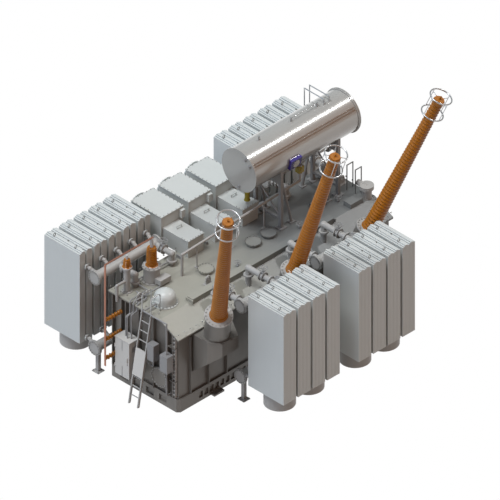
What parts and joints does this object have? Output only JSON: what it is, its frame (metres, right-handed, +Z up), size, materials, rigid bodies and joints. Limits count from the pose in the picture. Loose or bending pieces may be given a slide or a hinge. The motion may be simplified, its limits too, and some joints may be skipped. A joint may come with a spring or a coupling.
{
  "type": "oil-filled power transformer",
  "caption": "Oil-filled power transformer with inclined high-voltage bushings, radiator banks, cooling fans and an oil conservator.",
  "frame": {"origin": "middle of the underside of the base frame", "axes": "X along the tank, +Y from the high-voltage side to the low-voltage side, +Z up"},
  "size_m": [10.0472, 7.8267, 8.5454],
  "materials": {
    "tank_paint": "semi-gloss light grey paint",
    "pale_paint": "semi-gloss pale grey paint",
    "frame_paint": "semi-gloss grey paint",
    "radiator_paint": "semi-gloss light grey paint",
    "ring_metal": "brushed aluminium",
    "porcelain": "glazed orange-brown porcelain",
    "winding_copper": "paper-covered copper winding",
    "copper_bar": "dull red copper",
    "core_steel": "stacked electrical steel",
    "gauge_blue": "violet-blue enamel",
    "relay_yellow": "dull yellow paint",
    "fan_metal": "dark grey paint"
  },
  "bodies": {
    "transformer": {"tank": "tank_paint", "tank_cover": "pale_paint", "core": "core_steel", "core_clamps": "frame_paint", "winding_1": "winding_copper", "winding_2": "winding_copper", "winding_3": "winding_copper", "hv_turret_1": "tank_paint", "hv_turret_2": "tank_paint", "hv_turret_3": "tank_paint", "hv_bushing_1": "porcelain", "hv_bushing_2": "porcelain", "hv_bushing_3": "porcelain", "corona_ring_1": "ring_metal", "corona_ring_2": "ring_metal", "corona_ring_3": "ring_metal", "lv_hood_1": "tank_paint", "lv_hood_2": "tank_paint", "lv_hood_3": "tank_paint", "conservator": "pale_paint", "conservator_trestles": "frame_paint", "conservator_rails": "tank_paint", "level_gauge": "gauge_blue", "gas_relay": "relay_yellow", "oil_pipe": "tank_paint", "neutral_turret": "tank_paint", "neutral_bushing": "porcelain", "small_turret": "tank_paint", "small_bushing": "porcelain", "earthing_bar": "copper_bar", "bar_insulators": "porcelain", "control_cabinet": "pale_paint", "ladder": "tank_paint", "ladder_guard": "pale_paint", "tap_changer": "tank_paint", "tap_drive": "frame_paint", "drive_shaft": "frame_paint", "hatch_covers": "pale_paint", "relief_hood": "tank_paint", "headers_1": "tank_paint", "headers_2": "tank_paint", "headers_3": "tank_paint", "headers_4": "tank_paint", "radiators_1": "radiator_paint", "radiators_2": "radiator_paint", "radiators_3": "radiator_paint", "radiators_4": "radiator_paint", "fan_ducts_1": "tank_paint", "fan_ducts_2": "tank_paint", "fan_ducts_3": "tank_paint", "fan_ducts_4": "tank_paint"},
    "fan_1": {"fan_rotor_1": "fan_metal"},
    "fan_2": {"fan_rotor_2": "fan_metal"},
    "fan_3": {"fan_rotor_3": "fan_metal"},
    "fan_4": {"fan_rotor_4": "fan_metal"},
    "fan_5": {"fan_rotor_5": "fan_metal"},
    "fan_6": {"fan_rotor_6": "fan_metal"},
    "fan_7": {"fan_rotor_7": "fan_metal"},
    "fan_8": {"fan_rotor_8": "fan_metal"},
    "door": {"cabinet_door": "pale_paint"}
  },
  "joints": [
    {"name": "fan_1_spin", "type": "hinge", "parent": "transformer", "child": "fan_1", "pos_m": [-2.248, -3.418, 0.595], "axis": [0, 0, 1], "continuous": true},
    {"name": "fan_2_spin", "type": "hinge", "parent": "transformer", "child": "fan_2", "pos_m": [-1.098, -3.418, 0.595], "axis": [0, 0, 1], "continuous": true},
    {"name": "fan_3_spin", "type": "hinge", "parent": "transformer", "child": "fan_3", "pos_m": [0.792, -3.418, 0.595], "axis": [0, 0, 1], "continuous": true},
    {"name": "fan_4_spin", "type": "hinge", "parent": "transformer", "child": "fan_4", "pos_m": [1.942, -3.418, 0.595], "axis": [0, 0, 1], "continuous": true},
    {"name": "fan_5_spin", "type": "hinge", "parent": "transformer", "child": "fan_5", "pos_m": [-4.201, 2.867, 0.595], "axis": [0, 0, 1], "continuous": true},
    {"name": "fan_6_spin", "type": "hinge", "parent": "transformer", "child": "fan_6", "pos_m": [-2.461, 2.867, 0.595], "axis": [0, 0, 1], "continuous": true},
    {"name": "fan_7_spin", "type": "hinge", "parent": "transformer", "child": "fan_7", "pos_m": [2.639, 2.867, 0.595], "axis": [0, 0, 1], "continuous": true},
    {"name": "fan_8_spin", "type": "hinge", "parent": "transformer", "child": "fan_8", "pos_m": [4.379, 2.867, 0.595], "axis": [0, 0, 1], "continuous": true},
    {"name": "cabinet_door_hinge", "type": "hinge", "parent": "transformer", "child": "door", "pos_m": [-4.748, 0.735, 1.22], "axis": [0, 0, -1], "range_deg": [0, 95]}
  ]
}
